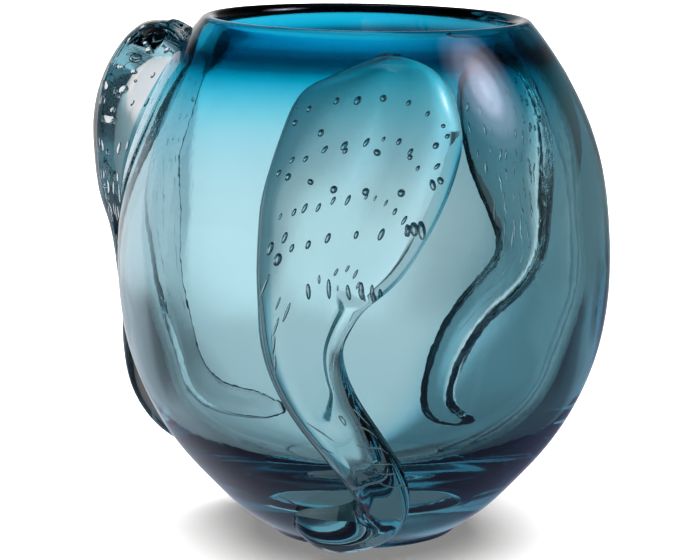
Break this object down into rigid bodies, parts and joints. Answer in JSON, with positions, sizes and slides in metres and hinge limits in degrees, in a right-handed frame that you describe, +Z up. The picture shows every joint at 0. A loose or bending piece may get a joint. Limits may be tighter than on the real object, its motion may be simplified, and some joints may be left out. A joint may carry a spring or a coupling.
{
  "type": "art glass vase",
  "caption": "Heavy thick-walled blown glass vase with a wide slanting mouth and thick clear trails with rows of bubbles running down its outside.",
  "frame": {"origin": "centre of the flat ground foot the vase stands on", "axes": "+Z up through the mouth, -Y towards the front trail, +X to the right seen from the front"},
  "size_m": [0.2969, 0.3025, 0.3016],
  "materials": {
    "teal_glass": "clear polished teal blue glass",
    "clear_glass": "clear polished colourless glass with air bubbles"
  },
  "bodies": {
    "root": {"body": "teal_glass", "tentacle_front": "clear_glass", "tentacle_left": "clear_glass", "tentacle_right": "clear_glass"}
  },
  "joints": []
}
